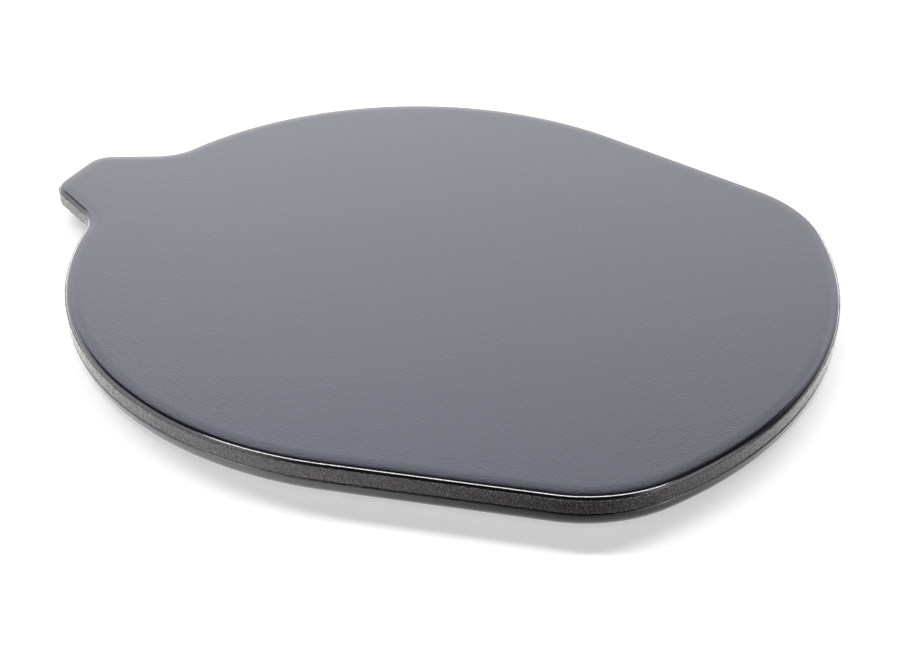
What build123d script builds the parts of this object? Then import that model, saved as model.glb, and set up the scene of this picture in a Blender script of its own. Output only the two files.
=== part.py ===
from build123d import *
import math
import os

# Pizza stone: a fired ceramic slab with a glaze coat on its top, its rim and its base band.
# Millimetres, +Z up. The origin is the centre of the round baking area, on the underside.
# +X points to the wide far end, and the handle points along -X.

# Plan of the slab: a round, two straight sides that touch it and lean in, and an arc at the far end
round_radius = 150.0
far_overhang = 34.0
far_corner_radius = 60.0
flat_lean_angle = 14.0

# Handle, which is as thick as the upper layer
handle_length = 30.5
handle_end_width = 34.0
handle_flare_angle = 27.5
handle_root_radius = 23.0
handle_corner_radius = 13.0

# Thickness of the two pressed layers, and their edges
upper_thickness = 8.0
lower_thickness = 6.0
top_edge_radius = 1.8
crease_depth = 0.7
base_edge_radius = 3.5

# Glaze coats
glaze_thickness = 0.6
top_glaze_lip = 2.0
base_glaze_stop_height = 0.3

far_reach = round_radius + far_overhang
handle_reach = round_radius + handle_length
total_thickness = upper_thickness + lower_thickness

# The rounded base edge leaves room in the lower layer's side for the crease and the coat
base_edge_room = lower_thickness - crease_depth - 2 * glaze_thickness
base_round_radius = min(base_edge_radius, base_edge_room)


def point_at(centre, radius, angle):
    """Point on a circle round a centre, at an angle in degrees from +X."""
    turn = math.radians(angle)
    return centre + Vector(radius * math.cos(turn), radius * math.sin(turn))


def far_corner_centre():
    """Centre of the round between the far arc and one straight side."""
    across = round_radius - far_corner_radius
    out = far_reach - far_corner_radius
    along = math.sqrt(out**2 - across**2)
    flat_normal_angle = 90 - flat_lean_angle
    foot = point_at(Vector(0, 0), across, flat_normal_angle)
    return point_at(foot, along, -flat_lean_angle)


def handle_side_distance():
    """Distance from the origin to the straight line of one side of the handle."""
    turn = math.radians(handle_flare_angle)
    return handle_reach * math.sin(turn) + handle_end_width / 2 * math.cos(turn)


def handle_root_centre():
    """Centre of the hollow round between the round edge and one side of the handle."""
    across = handle_side_distance() + handle_root_radius
    out = round_radius + handle_root_radius
    along = math.sqrt(out**2 - across**2)
    foot = point_at(Vector(0, 0), across, 90 + handle_flare_angle)
    return point_at(foot, along, 180 + handle_flare_angle)


def handle_corner_centre():
    """Centre of the round between one side of the handle and its end."""
    turn = math.radians(handle_flare_angle)
    x = handle_corner_radius - handle_reach
    across = handle_side_distance() - handle_corner_radius
    return Vector(x, (across + x * math.sin(turn)) / math.cos(turn))


def far_half_edges(inset):
    """Far arc, its rounded corner and the straight side, for the half with y above zero."""
    centre = far_corner_centre()
    corner_radius = far_corner_radius - inset
    far_angle = math.degrees(math.atan2(centre.Y, centre.X))
    normal_angle = 90 - flat_lean_angle
    flat_start = point_at(centre, corner_radius, normal_angle)
    flat_end = point_at(Vector(0, 0), round_radius - inset, normal_angle)
    return [
        CenterArc(Vector(0, 0), far_reach - inset, 0, far_angle),
        CenterArc(centre, corner_radius, far_angle, normal_angle - far_angle),
        Line(flat_start, flat_end),
    ]


def handle_half_edges(inset):
    """Round edge and half of the handle, for the half with y above zero."""
    root = handle_root_centre()
    corner = handle_corner_centre()
    root_radius = handle_root_radius + inset
    corner_radius = handle_corner_radius - inset
    normal_angle = 90 - flat_lean_angle
    side_angle = 90 + handle_flare_angle
    root_angle = math.degrees(math.atan2(root.Y, root.X))
    side_start = point_at(root, root_radius, side_angle + 180)
    side_end = point_at(corner, corner_radius, side_angle)
    end_start = point_at(corner, corner_radius, 180)
    return [
        CenterArc(Vector(0, 0), round_radius - inset, normal_angle, root_angle - normal_angle),
        CenterArc(root, root_radius, root_angle + 180, side_angle - root_angle),
        Line(side_start, side_end),
        CenterArc(corner, corner_radius, side_angle, 180 - side_angle),
        Line(end_start, Vector(end_start.X, 0)),
    ]


def round_half_edges(inset):
    """Round edge with no handle, for the half with y above zero."""
    normal_angle = 90 - flat_lean_angle
    return [CenterArc(Vector(0, 0), round_radius - inset, normal_angle, 180 - normal_angle)]


def plan_face(inset, with_handle):
    """Face inside the slab's plan outline, drawn parallel to it by an inset."""
    near_edges = handle_half_edges(inset) if with_handle else round_half_edges(inset)
    half = far_half_edges(inset) + near_edges
    other_half = [mirror(edge, about=Plane.XZ) for edge in half]
    return make_face(Curve(children=half + other_half).edges())


def layer(inset, with_handle, low, high):
    """Flat layer of the plan between two heights."""
    return extrude(Pos(0, 0, low) * plan_face(inset, with_handle), amount=high - low)


def lowest_edges(solid):
    return solid.edges().group_by(Axis.Z)[0]


def highest_edges(solid):
    return solid.edges().group_by(Axis.Z)[-1]


def envelope():
    """Outer shape of the glazed stone: an upper layer with the handle, on a layer without it."""
    upper = layer(0, True, lower_thickness, total_thickness)
    upper = fillet(highest_edges(upper), top_edge_radius)
    upper = chamfer(lowest_edges(upper), crease_depth)
    lower = layer(0, False, 0, lower_thickness)
    lower = fillet(lowest_edges(lower), base_round_radius)
    lower = chamfer(highest_edges(lower), crease_depth)
    return upper + lower


def foot_inset():
    """How far in from the plan outline the base edge is at the height where the glaze stops."""
    rise = base_round_radius - base_glaze_stop_height
    return base_round_radius - math.sqrt(base_round_radius**2 - rise**2)


def core():
    """Shape under the coats, drawn in from the envelope by the glaze's thickness."""
    upper = layer(glaze_thickness, True, lower_thickness + glaze_thickness, total_thickness - glaze_thickness)
    upper = fillet(highest_edges(upper), top_edge_radius - glaze_thickness)
    upper = chamfer(lowest_edges(upper), crease_depth)
    neck_inset = crease_depth + glaze_thickness
    neck = layer(neck_inset, False, lower_thickness - glaze_thickness, lower_thickness + glaze_thickness)
    lower = layer(glaze_thickness, False, glaze_thickness, lower_thickness - glaze_thickness)
    lower = fillet(lowest_edges(lower), base_round_radius - glaze_thickness)
    lower = chamfer(highest_edges(lower), crease_depth)
    foot = layer(foot_inset(), False, 0, glaze_thickness)
    return upper + neck + lower + foot


def slab_between(low, high):
    """Plain block that is wider than the stone, to keep what lies between two heights."""
    length = 2 * max(far_reach, handle_reach)
    block = Box(length, length, high - low, align=(Align.CENTER, Align.CENTER, Align.MIN))
    return Pos(0, 0, low) * block


os.makedirs("parts", exist_ok=True)

whole = envelope()
inner = core()
coat = whole - inner
top_glaze_low = total_thickness - top_glaze_lip

pieces = {
    "stone_body": whole & inner,
    "top_glaze": coat & slab_between(top_glaze_low, total_thickness),
    "rim_glaze": coat & slab_between(lower_thickness, top_glaze_low),
    "base_glaze": coat & slab_between(0, lower_thickness),
}

for node, shape in pieces.items():
    export_step(shape, f"parts/{node}.step")
    print(node, "volume", round(shape.volume), "box", shape.bounding_box())
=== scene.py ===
# %% [markdown]
# A glazed ceramic pizza stone, dressed for a studio picture.
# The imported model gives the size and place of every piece. This script adds what the eye wants:
# the rolled glossy lip of the glaze, the gritty pressed rim, the smooth base band and their finishes.

# %% Load the frame
import bmesh
import bpy
import math
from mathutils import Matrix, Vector


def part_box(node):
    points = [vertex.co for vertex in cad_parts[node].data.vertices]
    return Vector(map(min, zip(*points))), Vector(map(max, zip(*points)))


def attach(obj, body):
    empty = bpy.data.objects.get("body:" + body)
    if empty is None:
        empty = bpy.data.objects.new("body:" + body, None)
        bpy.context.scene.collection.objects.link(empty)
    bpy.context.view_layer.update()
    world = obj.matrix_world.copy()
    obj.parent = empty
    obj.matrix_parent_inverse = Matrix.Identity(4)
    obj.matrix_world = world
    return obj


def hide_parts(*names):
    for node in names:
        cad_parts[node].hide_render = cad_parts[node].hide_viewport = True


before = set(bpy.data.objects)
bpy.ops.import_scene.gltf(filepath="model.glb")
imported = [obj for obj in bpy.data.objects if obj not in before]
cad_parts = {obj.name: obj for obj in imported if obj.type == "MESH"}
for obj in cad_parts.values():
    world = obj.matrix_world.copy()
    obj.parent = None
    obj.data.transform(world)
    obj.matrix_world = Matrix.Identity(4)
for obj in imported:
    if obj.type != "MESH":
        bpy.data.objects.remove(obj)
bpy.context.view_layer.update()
MM = 0.001

# %% [markdown]
# The camera looks down on the stone's long side, from a little towards its broad far end.
# It is a short telephoto, so the far edge is only slightly smaller than the near one.
# Roll is the small turn that the tripod left in the horizon.

# %% Camera
camera_place = Vector((284.1, -551.8, 390.6)) * MM
camera_look_down = math.radians(33.82)
camera_turn = math.radians(25.81)
camera_roll = math.radians(-0.11)
camera_data = bpy.data.cameras.new("camera")
camera_data.lens = 66.2
camera_data.sensor_width = 36
camera = bpy.data.objects.new("camera", camera_data)
bpy.context.scene.collection.objects.link(camera)
camera.location = camera_place
camera.rotation_euler = (math.pi / 2 - camera_look_down, camera_roll, camera_turn)
bpy.context.scene.camera = camera
forward = Vector((-math.sin(camera_turn), math.cos(camera_turn), 0))
rightward = Vector((math.cos(camera_turn), math.sin(camera_turn), 0))
print("camera height", round(camera_place.z / MM), "mm")

# %% [markdown]
# Colours are written as sRGB hex values, as a paint chart gives them, and turned to linear light once.
# Every material is a small tree of nodes, so one helper adds a node, sets it and links its inputs.

# %% Helpers for materials


def linear(hex_colour):
    """sRGB hex value as linear red, green, blue and full alpha."""
    parts = [int(hex_colour[i:i + 2], 16) / 255 for i in (1, 3, 5)]
    return [c / 12.92 if c <= 0.04045 else ((c + 0.055) / 1.055) ** 2.4 for c in parts] + [1]


def new_material(name):
    """Material with its node tree, its shader and the Object coordinates."""
    material = bpy.data.materials.new(name)
    material.use_nodes = True
    tree = material.node_tree
    shader = tree.nodes["Principled BSDF"]
    place = tree.nodes.new("ShaderNodeTexCoord").outputs["Object"]
    return material, tree, shader, place


def add_node(tree, kind, settings=None, inputs=None):
    """Node of a kind with its settings, whose inputs are values or links from other nodes."""
    node = tree.nodes.new("ShaderNode" + kind)
    for name, value in (settings or {}).items():
        setattr(node, name, value)
    for socket, value in (inputs or {}).items():
        if isinstance(value, bpy.types.NodeSocket):
            tree.links.new(value, node.inputs[socket])
        else:
            node.inputs[socket].default_value = value
    return node


# %% [markdown]
# The plan of the stone is a chain of arcs and straight runs that touch each other smoothly:
# the far arc, its corner, the straight side, the round, the hollow root of the tab and the tab itself.
# Every edge piece has one section all the way round, so the section is drawn once, at the far end,
# and the Spin tool carries it along the chain. Only one half is made, and a mirror gives the other.

# %% Sizes of the plan
round_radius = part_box("base_glaze")[1].y
far_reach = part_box("top_glaze")[1].x
tab_reach = -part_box("top_glaze")[0].x
top_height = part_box("top_glaze")[1].z
lip_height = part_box("top_glaze")[0].z
base_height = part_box("base_glaze")[1].z
foot_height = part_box("base_glaze")[0].z
glaze_thickness = top_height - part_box("stone_body")[1].z
far_corner_radius = 60 * MM
side_lean = math.radians(14)
tab_end_width = 34 * MM
tab_flare = math.radians(27.5)
tab_root_radius = 23 * MM
tab_corner_radius = 13 * MM
print("round radius", round(round_radius / MM, 1), "thickness", round(top_height / MM, 1), "mm")

# %% The chain of arcs and runs
origin = Vector((0, 0, 0))


def toward(angle):
    """Unit vector at an angle from +X, in the plan."""
    return Vector((math.cos(angle), math.sin(angle), 0))


side_normal = math.pi / 2 - side_lean
corner_across = round_radius - far_corner_radius
corner_along = math.sqrt((far_reach - far_corner_radius) ** 2 - corner_across**2)
corner_centre = toward(side_normal) * corner_across + toward(-side_lean) * corner_along
far_angle = math.atan2(corner_centre.y, corner_centre.x)

tab_normal = math.pi / 2 + tab_flare
tab_side_distance = tab_reach * math.sin(tab_flare) + tab_end_width / 2 * math.cos(tab_flare)
root_across = tab_side_distance + tab_root_radius
root_along = math.sqrt((round_radius + tab_root_radius) ** 2 - root_across**2)
root_centre = toward(tab_normal) * root_across + toward(math.pi + tab_flare) * root_along
root_angle = math.atan2(root_centre.y, root_centre.x)

end_centre_x = tab_corner_radius - tab_reach
end_centre_across = tab_side_distance - tab_corner_radius
end_centre_y = (end_centre_across + end_centre_x * math.sin(tab_flare)) / math.cos(tab_flare)
end_centre = Vector((end_centre_x, end_centre_y, 0))

side_run = -toward(-side_lean) * corner_along
tab_run = end_centre + toward(tab_normal) * tab_corner_radius - root_centre + toward(tab_normal) * tab_root_radius
end_run = Vector((0, -end_centre_y, 0))

far_moves = [("turn", origin, far_angle), ("turn", corner_centre, side_normal - far_angle), ("run", side_run)]
tab_moves = [("turn", root_centre, tab_normal - root_angle), ("run", tab_run),
             ("turn", end_centre, math.pi - tab_normal), ("run", end_run)]
moves_with_tab = far_moves + [("turn", origin, root_angle - side_normal)] + tab_moves
moves_without_tab = far_moves + [("turn", origin, math.pi - side_normal)]
print("tab run", round(tab_run.length / MM, 1), "mm, flat run", round(side_run.length / MM, 1), "mm")

# %% [markdown]
# The section is a wire in the upright plane through the stone's length. A plane primitive merged to
# its centre is its first point, and Extrude draws on from there. Its points are written as how far
# they lie in from the outline, and how high. No point may lie further in than the tab's corner
# radius, because there the sweep would run backwards.

# %% Tools that draw and sweep a section
doubles = 0.01 * MM
smooth_step = 1.5 * MM
shade_angle = math.radians(50)


def draw_section(name, reach, section):
    """Wire through points that are each a distance in from the outline and a height, in edit mode."""
    for item in bpy.context.selected_objects:
        item.select_set(False)
    bpy.ops.mesh.primitive_plane_add(size=1 * MM)
    piece = bpy.context.object
    piece.name = piece.data.name = name
    bpy.ops.object.mode_set(mode="EDIT")
    bpy.ops.mesh.select_all(action="SELECT")
    bpy.ops.mesh.merge(type="CENTER")
    places = [Vector((reach - inset, 0, height)) for inset, height in section]
    bpy.ops.transform.translate(value=places[0])
    for here, there in zip(places, places[1:]):
        bpy.ops.mesh.extrude_region_move(TRANSFORM_OT_translate={"value": there - here})
    bpy.ops.mesh.select_all(action="SELECT")
    return piece


def sweep(place, moves, step):
    """Carries the selected section, which stands at a place, along the moves in short steps."""
    for kind, *how in moves:
        if kind == "turn":
            centre, angle = how
            spoke = place - centre
            steps = max(2, math.ceil(spoke.length * abs(angle) / step))
            # Spin turns clockwise for a positive angle
            bpy.ops.mesh.spin(steps=steps, angle=-angle, center=centre, axis=(0, 0, 1))
            place = centre + toward(math.atan2(spoke.y, spoke.x) + angle) * spoke.length
        else:
            run = how[0]
            steps = max(1, math.ceil(run.length / step))
            bpy.ops.mesh.extrude_repeat(steps=steps, offset=run / steps)
            place = place + run


def apply_modifier(piece, kind, **settings):
    """Adds a modifier with its settings and applies it."""
    modifier = piece.modifiers.new(kind.lower(), kind)
    for name, value in settings.items():
        setattr(modifier, name, value)
    bpy.ops.object.modifier_apply(modifier=modifier.name)


def mirror_half(piece):
    """Mirrors the half with y above zero to the other side, and goes back to edit mode."""
    bpy.ops.object.mode_set(mode="OBJECT")
    apply_modifier(piece, "MIRROR", use_axis=(False, True, False), merge_threshold=doubles)
    bpy.ops.object.mode_set(mode="EDIT")
    bpy.ops.mesh.select_all(action="SELECT")
    bpy.ops.mesh.remove_doubles(threshold=doubles)


def fill_loop(piece, height):
    """Closes the open loop that lies at a height, with one face."""
    mesh = bmesh.from_edit_mesh(piece.data)
    for part in (*mesh.verts, *mesh.edges, *mesh.faces):
        part.select = False
    for edge in mesh.edges:
        low, high = sorted(vertex.co.z for vertex in edge.verts)
        if len(edge.link_faces) < 2 and abs(low - height) < doubles and abs(high - height) < doubles:
            edge.select = True
    bmesh.update_edit_mesh(piece.data)
    bpy.ops.mesh.edge_face_add()


def close_piece(piece):
    """Turns the normals outward, leaves edit mode and shades smooth up to the shade angle."""
    bpy.ops.mesh.select_all(action="SELECT")
    bpy.ops.mesh.normals_make_consistent(inside=False)
    bpy.ops.object.mode_set(mode="OBJECT")
    bpy.ops.object.shade_smooth_by_angle(angle=shade_angle)
    uses = {}
    for polygon in piece.data.polygons:
        for key in polygon.edge_keys:
            uses[key] = uses.get(key, 0) + 1
    print(piece.name, "faces", len(piece.data.polygons), "open edges", sum(n != 2 for n in uses.values()))


def arc(centre, radius, start, end, steps):
    """Points of an arc in the section, at angles from straight in, each an inset and a height."""
    angles = [start + (end - start) * i / steps for i in range(steps + 1)]
    return [(centre[0] + radius * math.cos(a), centre[1] + radius * math.sin(a)) for a in angles]


# %% [markdown]
# The top glaze is satin on the flat and runs smooth and black over the edge. A fired glaze pulls back
# from an edge, so the face falls away slowly before it rolls over in a tight round. On the slow fall the
# face stops mirroring the bright wall behind it, which makes the soft dark border, and the roll carries
# the thin bright line with a black one under it. The slow fall is a power curve and the roll an arc, added
# together. The roll ends a little below the top of the rim, tucked behind it. The coat is a closed shell,
# and its inside lies on the clay body.

# %% Top glaze
rim_top = lip_height + 0.35 * MM
lip_radius = 2.2 * MM
lip_tuck = 0.15 * MM
slow_fall = 0.6 * MM
slow_width = 7.1 * MM
slow_power = 1.72
lip_set_back = 0.05 * MM
lip_reach = far_reach - lip_set_back


def fall(inset):
    """How far the glaze has fallen below the flat top, at a distance in from its edge."""
    slow = slow_fall * max(1 - inset / slow_width, 0) ** slow_power
    tight = lip_radius - math.sqrt(lip_radius**2 - max(lip_radius - inset, 0) ** 2)
    return slow + tight


roll_steps, slow_steps, body_steps = 12, 14, 4
roll_turn = math.acos(1 - (top_height - rim_top + lip_tuck - slow_fall) / lip_radius)
roll_angles = [math.pi / 2 - roll_turn * (1 - i / roll_steps) for i in range(roll_steps + 1)]
roll_insets = [lip_radius * (1 - math.cos(angle)) for angle in roll_angles]
slow_insets = [lip_radius + (slow_width - lip_radius) * (i + 1) / slow_steps for i in range(slow_steps)]
outside = [(inset, top_height - fall(inset)) for inset in roll_insets + slow_insets]
inner_height = top_height - glaze_thickness
inner_set_back = glaze_thickness - lip_set_back
body_edge_radius = 1.2 * MM
body_edge_centre = (inner_set_back + body_edge_radius, inner_height - body_edge_radius)
inside = arc(body_edge_centre, body_edge_radius, math.pi / 2, math.pi, body_steps)
lip_end = outside[0][1]
section = [(slow_width, inner_height)] + inside + [(inner_set_back, lip_end)] + outside
top_coat = draw_section("top_glaze_coat", lip_reach, section)
sweep(toward(0) * lip_reach, moves_with_tab, smooth_step)
mirror_half(top_coat)
fill_loop(top_coat, top_height)
fill_loop(top_coat, inner_height)
close_piece(top_coat)
print("lip ends at a height of", round(lip_end / MM, 2), "mm")
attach(top_coat, "root")
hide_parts("top_glaze")

# %% [markdown]
# The rim is the pressed edge of the clay with the glaze over it: gritty, because the coarse grog stands
# out where the mould sheared it. The grit is real relief, so its grains catch the overhead strip at the
# shoulder. The wall is swept in fine steps and a Displace modifier lifts it, but only the points of a
# vertex group, which Spin and Extrude carry along from the section.

# %% Rim glaze
crease_depth = 0.6 * MM
crease_corner = 0.25 * MM
crease_rise = crease_depth + crease_corner * (math.sqrt(2) - 1)
rim_step = 0.45 * MM
shoulder_radius = 0.4 * MM
corner_steps = 3
neck_inset = crease_depth + glaze_thickness
neck_height = base_height + glaze_thickness
wall_low = base_height + crease_rise
lower_centre = (crease_corner, wall_low)
lower_arc = [(crease_depth, base_height)]
lower_arc += arc(lower_centre, crease_corner, math.pi * 5 / 4, math.pi, corner_steps)
wall_high = rim_top - shoulder_radius
wall_steps = math.ceil((wall_high - wall_low) / rim_step)
wall = [(0, wall_low + (wall_high - wall_low) * i / wall_steps) for i in range(1, wall_steps)]
shoulder = arc((shoulder_radius, wall_high), shoulder_radius, math.pi, math.pi / 2, corner_steps)
inner_wall = [(glaze_thickness, rim_top), (glaze_thickness, neck_height + crease_depth)]
neck = [(neck_inset, neck_height), (neck_inset, base_height), lower_arc[0]]
section = lower_arc + wall + shoulder + inner_wall + neck
rim_coat = draw_section("rim_glaze_coat", far_reach, section)

grit_group = rim_coat.vertex_groups.new(name="grit")
mesh = bmesh.from_edit_mesh(rim_coat.data)
weights = mesh.verts.layers.deform.verify()
for vertex in mesh.verts:
    on_wall = far_reach - vertex.co.x < glaze_thickness / 2 and vertex.co.z > base_height + doubles
    if on_wall:
        vertex[weights][grit_group.index] = 1
bmesh.update_edit_mesh(rim_coat.data)
sweep(toward(0) * far_reach, moves_with_tab, rim_step)
mirror_half(rim_coat)
close_piece(rim_coat)

# %% [markdown]
# Under the tab the coat is a flat plate, between the tab's outline and the neck of the layer below.

# %% Plate under the tab
plate_reach = round_radius - neck_inset
plate_moves = [("turn", origin, root_angle - math.pi)] + tab_moves
plate = draw_section("tab_plate", -plate_reach, [(0, base_height)])
sweep(toward(math.pi) * plate_reach, plate_moves, smooth_step)
mirror_half(plate)
fill_loop(plate, base_height)
bpy.ops.mesh.select_all(action="SELECT")
bpy.ops.mesh.extrude_region_move(TRANSFORM_OT_translate={"value": (0, 0, glaze_thickness)})
close_piece(plate)
plate.select_set(True)
rim_coat.select_set(True)
bpy.context.view_layer.objects.active = rim_coat
bpy.ops.object.join()
print("rim faces", len(rim_coat.data.polygons))

# %% Grit on the rim
grains = bpy.data.textures.new("grains", "VORONOI")
grains.noise_scale = 1.1 * MM
apply_modifier(rim_coat, "DISPLACE", texture=grains, texture_coords="LOCAL", direction="NORMAL",
               vertex_group="grit", strength=0.16 * MM, mid_level=0.3)
lumps = bpy.data.textures.new("lumps", "CLOUDS")
lumps.noise_scale = 2.5 * MM
lumps.noise_depth = 3
apply_modifier(rim_coat, "DISPLACE", texture=lumps, texture_coords="LOCAL", direction="NORMAL",
               vertex_group="grit", strength=0.2 * MM, mid_level=0.4)
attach(rim_coat, "root")
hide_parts("rim_glaze")

# %% [markdown]
# The base band is the edge of the lower layer. It is round at the foot and smooth, and it has no tab,
# so its outline stays on the round.

# %% Base glaze
base_radius = 3.5 * MM
foot_angle = math.asin((base_radius - foot_height) / base_radius)
foot_centre = (base_radius, base_radius)
foot_steps = 12
base_step = 1.2 * MM
foot_arc = arc(foot_centre, base_radius, math.pi + foot_angle, math.pi, foot_steps)
inner_arc = arc(foot_centre, base_radius - glaze_thickness, math.pi, math.pi + foot_angle, foot_steps // 2)
upper_centre = (crease_corner, base_height - crease_rise)
upper_arc = arc(upper_centre, crease_corner, math.pi, math.pi * 3 / 4, corner_steps)
inner_neck = [(crease_depth, base_height), (neck_inset, base_height), (neck_inset, base_height - glaze_thickness),
              (glaze_thickness, base_height - neck_inset)]
section = foot_arc + upper_arc + inner_neck + inner_arc
base_coat = draw_section("base_glaze_coat", far_reach, section + [section[0]])
sweep(toward(0) * far_reach, moves_without_tab, base_step)
mirror_half(base_coat)
close_piece(base_coat)
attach(base_coat, "root")
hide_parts("base_glaze")

# %% [markdown]
# Satin glaze: a near-black stoneware glaze with a violet cast, fired satin. Nearly all the grey of the
# face is a soft mirror of the bright wall behind the stone. Towards the edge the glaze gets smoother,
# and over the roll it is glossy and black. How near the edge a point is follows from how far the face
# has fallen there, which is the slow fall's power curve turned round.

# %% Satin glaze
satin, tree, shader, place = new_material("satin_glaze")
height = add_node(tree, "SeparateXYZ", inputs={0: place}).outputs["Z"]
fallen = add_node(tree, "MapRange", inputs={
    "Value": height, "From Min": top_height, "From Max": top_height - slow_fall}).outputs[0]
nearness = add_node(tree, "Math", {"operation": "POWER"}, {0: fallen, 1: 1 / slow_power}).outputs[0]
smoother = add_node(tree, "MapRange", {"interpolation_type": "SMOOTHSTEP"}, {
    "Value": nearness, "From Min": 0.21, "From Max": 0.78, "To Min": 0.316, "To Max": 0.14}).outputs[0]
tree.links.new(smoother, shader.inputs["Roughness"])
clouding = add_node(tree, "TexNoise", inputs={"Vector": place, "Scale": 1 / (30 * MM), "Detail": 3}).outputs[0]
grain = add_node(tree, "TexNoise", inputs={"Vector": place, "Scale": 1 / (1.1 * MM), "Detail": 2}).outputs[0]
tone = add_node(tree, "Mix", {"data_type": "RGBA"}, {
    0: clouding, 6: linear("#26272d"), 7: linear("#2a2b31")}).outputs[2]
on_roll = add_node(tree, "MapRange", {"interpolation_type": "SMOOTHSTEP"}, {
    "Value": height, "From Min": top_height - 0.42 * MM, "From Max": top_height - 0.62 * MM}).outputs[0]
colour = add_node(tree, "Mix", {"data_type": "RGBA"}, {
    0: on_roll, 6: tone, 7: linear("#0a0a0c")}).outputs[2]
tree.links.new(colour, shader.inputs["Base Color"])
calmer = add_node(tree, "MapRange", inputs={
    "Value": nearness, "From Max": 0.6, "To Min": 0.5, "To Max": 0.12}).outputs[0]
peel = add_node(tree, "Bump", inputs={"Strength": calmer, "Distance": 0.2 * MM, "Height": grain}).outputs[0]
tree.links.new(peel, shader.inputs["Normal"])
shader.inputs["IOR"].default_value = 1.6
top_coat.data.materials.append(satin)

# %% [markdown]
# Speckled glaze: the same glaze, black over the coarse edge, with pale grains of grog showing through.

# %% Speckled glaze
speckle, tree, shader, place = new_material("speckled_glaze")
cells = add_node(tree, "TexVoronoi", inputs={"Vector": place, "Scale": 1 / (0.42 * MM)})
chance = add_node(tree, "SeparateColor", inputs={0: cells.outputs["Color"]}).outputs[0]
shown = add_node(tree, "MapRange", inputs={
    "Value": chance, "From Min": 0.65, "From Max": 1}).outputs[0]
colour = add_node(tree, "Mix", {"data_type": "RGBA"}, {
    0: shown, 6: linear("#070606"), 7: linear("#7e7974")}).outputs[2]
tree.links.new(colour, shader.inputs["Base Color"])
rough = add_node(tree, "Bump", {"invert": True}, {
    "Strength": 1, "Distance": 0.27 * MM, "Height": cells.outputs["Distance"]}).outputs[0]
tree.links.new(rough, shader.inputs["Normal"])
shader.inputs["Roughness"].default_value = 0.25
shader.inputs["IOR"].default_value = 1.45
rim_coat.data.materials.append(speckle)

# %% [markdown]
# Smooth glaze: black glaze, semi-gloss, with a slight violet cast. Its colour carries painted shade, darkest at
# the crease, and grows paler towards the foot as a painted reflection of the floor.

# %% Smooth glaze
smooth, tree, shader, place = new_material("smooth_glaze")
waves = add_node(tree, "TexNoise", inputs={"Vector": place, "Scale": 1 / (6 * MM), "Detail": 2}).outputs[0]
height = add_node(tree, "SeparateXYZ", inputs={0: place}).outputs["Z"]
# Painted shade and painted reflection: the colour is darkest at the crease and paler at the foot.
painted_foot_light = add_node(tree, "MapRange", {"interpolation_type": "SMOOTHSTEP"}, {
    "Value": height, "From Min": base_height, "From Max": foot_height}).outputs[0]
colour = add_node(tree, "Mix", {"data_type": "RGBA"}, {
    0: painted_foot_light, 6: linear("#121114"), 7: linear("#3c383b")}).outputs[2]
tree.links.new(colour, shader.inputs["Base Color"])
ripple = add_node(tree, "Bump", inputs={"Strength": 0.4, "Distance": 0.15 * MM, "Height": waves}).outputs[0]
tree.links.new(ripple, shader.inputs["Normal"])
shader.inputs["Roughness"].default_value = 0.3
shader.inputs["IOR"].default_value = 1.6
base_coat.data.materials.append(smooth)

# %% [markdown]
# Fired clay: cordierite body, bare on the underside, buff with darker grog and open pores.

# %% Fired clay
clay, tree, shader, place = new_material("fired_clay")
grog = add_node(tree, "TexNoise", inputs={"Vector": place, "Scale": 1 / (1.5 * MM), "Detail": 4}).outputs[0]
colour = add_node(tree, "Mix", {"data_type": "RGBA"}, {
    0: grog, 6: linear("#a8957a"), 7: linear("#cdbb9f")}).outputs[2]
tree.links.new(colour, shader.inputs["Base Color"])
pores = add_node(tree, "Bump", inputs={"Strength": 0.6, "Distance": 0.1 * MM, "Height": grog}).outputs[0]
tree.links.new(pores, shader.inputs["Normal"])
shader.inputs["Roughness"].default_value = 0.9
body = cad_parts["stone_body"]
body.data.materials.clear()
body.data.materials.append(clay)

# %% [markdown]
# The floor is a wide white disc. Its own colour and a little light for camera and mirror rays make it white,
# so the lamps needn't burn it out, and it keeps the stone's shadow. Far out, where the lamps reach it less,
# the camera's light is stronger. The mirrored light is dim in front of the stone, which darkens the rim
# there, but not close to the stone, where it lights the base band. The floor lies a hair above the stone's
# underside, so that they don't share a plane.

# %% Floor
floor_radius, floor_lift = 3, 0.02 * MM
for item in bpy.context.selected_objects:
    item.select_set(False)
bpy.ops.mesh.primitive_circle_add(vertices=96, radius=floor_radius, fill_type="NGON", location=(0, 0, floor_lift))
floor = bpy.context.object
floor.name = "floor"
paper, tree, shader, place = new_material("white_paper")
shader.inputs["Base Color"].default_value = linear("#f9f9f9")
shader.inputs["Roughness"].default_value = 0.9
path = add_node(tree, "LightPath")
dim_place = rightward * (66 * MM) - forward * (180 * MM)
dim_reach, dim_stretch, dim_power = 130 * MM, 3.3, 0.9
mirrored_lift = 2.3
from_dim = add_node(tree, "Mapping", {"vector_type": "TEXTURE"}, {
    "Vector": place, "Location": dim_place, "Rotation": (0, 0, camera_turn),
    "Scale": (1, dim_stretch, 1)}).outputs[0]
spread = add_node(tree, "VectorMath", {"operation": "LENGTH"}, {0: from_dim}).outputs["Value"]
spread = add_node(tree, "Math", {"operation": "DIVIDE", "use_clamp": True}, {0: spread, 1: dim_reach}).outputs[0]
spread = add_node(tree, "Math", {"operation": "POWER"}, {0: spread, 1: dim_power}).outputs[0]
mirrored = add_node(tree, "Math", {"operation": "MAXIMUM"}, {
    0: path.outputs["Is Glossy Ray"], 1: path.outputs["Is Transmission Ray"]}).outputs[0]
spread = add_node(tree, "Math", {"operation": "MULTIPLY"}, {0: spread, 1: mirrored_lift}).outputs[0]
contact_lift = 1.5
close_by = add_node(tree, "MapRange", inputs={
    "Value": path.outputs["Ray Length"], "From Min": 2 * MM, "From Max": 12 * MM,
    "To Min": contact_lift, "To Max": 0}).outputs[0]
spread = add_node(tree, "Math", {"operation": "MAXIMUM"}, {0: spread, 1: close_by}).outputs[0]
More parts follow.
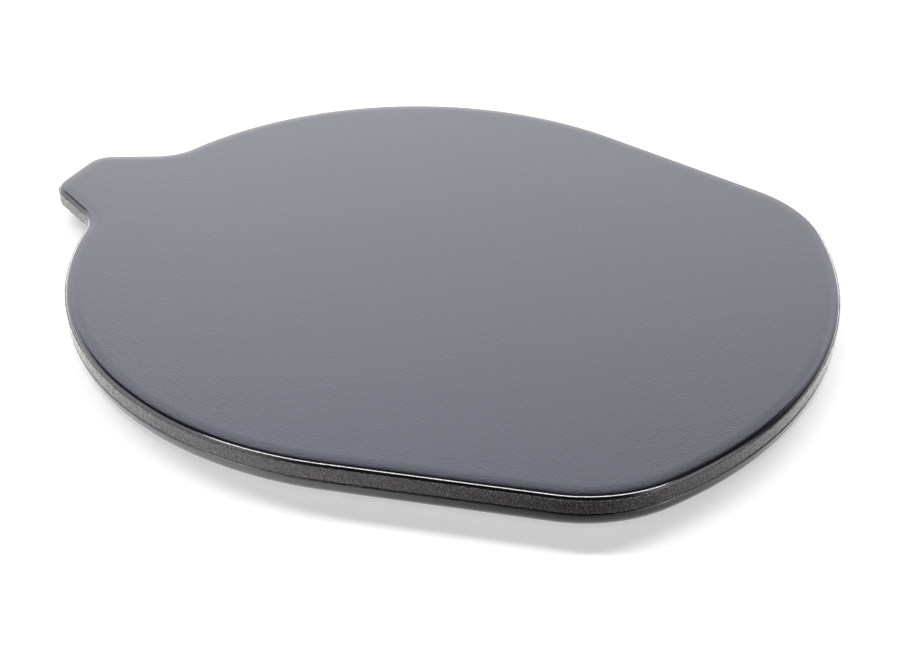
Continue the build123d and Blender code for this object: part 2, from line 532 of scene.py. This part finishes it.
mirrored = add_node(tree, "Math", {"operation": "MULTIPLY"}, {0: mirrored, 1: spread}).outputs[0]
near_lift, far_lift = 0.475, 1
away = add_node(tree, "VectorMath", {"operation": "LENGTH"}, {0: place}).outputs["Value"]
camera_lift = add_node(tree, "MapRange", inputs={
    "Value": away, "From Min": 0.5, "From Max": 2, "To Min": near_lift, "To Max": far_lift}).outputs[0]
lift = add_node(tree, "Math", {"operation": "MULTIPLY_ADD"}, {
    0: path.outputs["Is Camera Ray"], 1: camera_lift, 2: mirrored}).outputs[0]
shader.inputs["Emission Color"].default_value = (1, 1, 1, 1)
tree.links.new(lift, shader.inputs["Emission Strength"])
paper.cycles.emission_sampling = "NONE"
floor.data.materials.append(paper)

# %% [markdown]
# A long bar of light high behind the stone gives most of the light, and the short shadow in front that
# thins out to the sides. It is made in three parts, so that its ends are as bright as its middle.
# Mirror rays don't see it. They see a thin strip over the camera, which draws the line on the lip.

# %% Lamps
bar_share = 0.92
bar_distance = 3.0
bar_elevation = math.radians(39.5)
bar_thickness = 0.27
bar_ends = [-1.49, -0.59, 0.31, 1.21]
bar_facing = forward * math.cos(bar_elevation) + Vector((0, 0, math.sin(bar_elevation)))


def area_lamp(name, place, facing, wide, high):
    """Rectangular lamp at a place, which shines the opposite way from where it faces from the stone."""
    lamp_data = bpy.data.lights.new(name, "AREA")
    lamp_data.shape = "RECTANGLE"
    lamp_data.size = wide
    lamp_data.size_y = high
    lamp = bpy.data.objects.new(name, lamp_data)
    bpy.context.scene.collection.objects.link(lamp)
    lamp.location = place
    lamp.rotation_euler = facing.to_track_quat("Z", "Y").to_euler()
    lamp.visible_camera = False
    return lamp


def bar_part(name, start, end, share):
    """Part of the long strip light, with the share of the light on the floor that it gives."""
    place = forward + rightward * (start + end) / 2 + Vector((0, 0, math.tan(bar_elevation)))
    place *= bar_distance
    lamp = area_lamp(name, place, bar_facing, (end - start) * bar_distance, bar_thickness)
    slant = place.normalized().dot(bar_facing) * place.normalized().z
    lamp.data.energy = share * math.pi**2 * place.length_squared / slant
    lamp.visible_glossy = False


for i, name in enumerate(("bar_left", "bar_middle", "bar_right")):
    bar_part(name, bar_ends[i], bar_ends[i + 1], bar_share / 3)

strip_elevation = math.radians(69.5)
strip_length, strip_width, strip_distance, strip_shift = 1.87, 0.15, 1.0, -0.035
strip_radiance = 30
strip_facing = -forward * math.cos(strip_elevation) + Vector((0, 0, math.sin(strip_elevation)))
strip_place = strip_facing * strip_distance + rightward * strip_shift
strip = area_lamp("strip", strip_place, strip_facing, strip_length, strip_width)
strip.data.energy = strip_radiance * math.pi * strip_length * strip_width
strip.visible_diffuse = False

# %% [markdown]
# The world is the studio that the glaze mirrors: pale walls to the left, behind and to the right, up to
# a little over the height that the flat face mirrors to the camera. The back wall's top is straight, and
# the walls are lower beside it. There is a dark gap to the right, and a wide one on the camera's side, which
# gives the lip its black line.
# What falls on the stone from the world as plain light is even, and the camera sees white.

# %% World
wall_radiance = 2.85
wall_rise = 1.13
edge_blur = 0.015
rise_shares = [(-180, 0.76), (-95, 0.84), (-75, 0.8), (-60, 0.57), (-26, 0.6), (-17, 0.93), (0, 1), (15, 0.93),
               (22, 0.76), (40, 0.7), (180, 0.766)]
wall_levels = [(-180, 0.04), (-142, 0.04), (-126, 0.83), (-60, 0.83), (-26, 0.8), (-14, 1), (14, 0.82), (30, 0.76),
               (50, 0.46), (70, 0.09), (85, 0.055), (100, 0.93), (126, 0.93), (142, 0.04), (180, 0.04)]
tints = [(27, 0.96, 0.05), (33, 1, 0.17), (38, 1.03, 0.2), (44, 1.08, 0.22)]
world = bpy.data.worlds.new("studio")
bpy.context.scene.world = world
world.use_nodes = True
world.cycles.sampling_method = "NONE"
tree = world.node_tree


def calculate(operation, *values):
    """Math node of the world, whose inputs are values or links."""
    return add_node(tree, "Math", {"operation": operation}, dict(enumerate(values))).outputs[0]


def along(axis):
    """How far the ray's direction goes along an axis."""
    return add_node(tree, "VectorMath", {"operation": "DOT_PRODUCT"}, {0: direction, 1: axis}).outputs["Value"]


def ramp(position, stops):
    """Ramp through stops, each a position from 0 to 1, a level and, if it is bluish, the blue it has more."""
    node = add_node(tree, "ValToRGB", inputs={0: position})
    elements = node.color_ramp.elements
    while len(elements) < len(stops):
        elements.new(0.5)
    for element, (at, *tone) in zip(elements, stops):
        element.position = at
    for element, (at, level, *more) in zip(elements, stops):
        element.color = (level, level, level * (1 + sum(more)), 1)
    return node.outputs[0]


def ramp_around(levels):
    """Ramp through levels, each at an angle to the right of the line from the camera."""
    return ramp(around, [(0.5 + angle / 360, level) for angle, level in levels])


direction = add_node(tree, "TexCoord").outputs["Generated"]
ahead, sideways, upward = along(forward), along(rightward), along((0, 0, 1))
level_part = calculate("SQRT", calculate("MULTIPLY_ADD", upward, calculate("MULTIPLY", upward, -1), 1))
around = calculate("MULTIPLY_ADD", calculate("ARCTAN2", sideways, ahead), 0.5 / math.pi, 0.5)
wall_top = calculate("MULTIPLY", calculate("MULTIPLY", level_part, wall_rise), ramp_around(rise_shares))
wall = add_node(tree, "MapRange", {"interpolation_type": "SMOOTHSTEP"}, {
    "Value": calculate("SUBTRACT", wall_top, upward), "From Min": -edge_blur, "From Max": edge_blur,
    "To Max": wall_radiance}).outputs[0]
mirrored_wall = calculate("MULTIPLY", wall, ramp_around(wall_levels))
tint = ramp(upward, [(math.sin(math.radians(angle)), *tone) for angle, *tone in tints])
mirrored_colour = add_node(tree, "VectorMath", {"operation": "SCALE"}, {0: tint, "Scale": mirrored_wall})
path = add_node(tree, "LightPath")
plain = 1 - bar_share
colour = add_node(tree, "Mix", {"data_type": "RGBA"}, {
    0: path.outputs["Is Glossy Ray"], 6: (plain, plain, plain, 1), 7: mirrored_colour.outputs[0]}).outputs[2]
colour = add_node(tree, "Mix", {"data_type": "RGBA"}, {
    0: path.outputs["Is Camera Ray"], 6: colour, 7: (1, 1, 1, 1)}).outputs[2]
tree.links.new(colour, tree.nodes["Background"].inputs["Color"])
bpy.context.scene.view_settings.view_transform = "Standard"
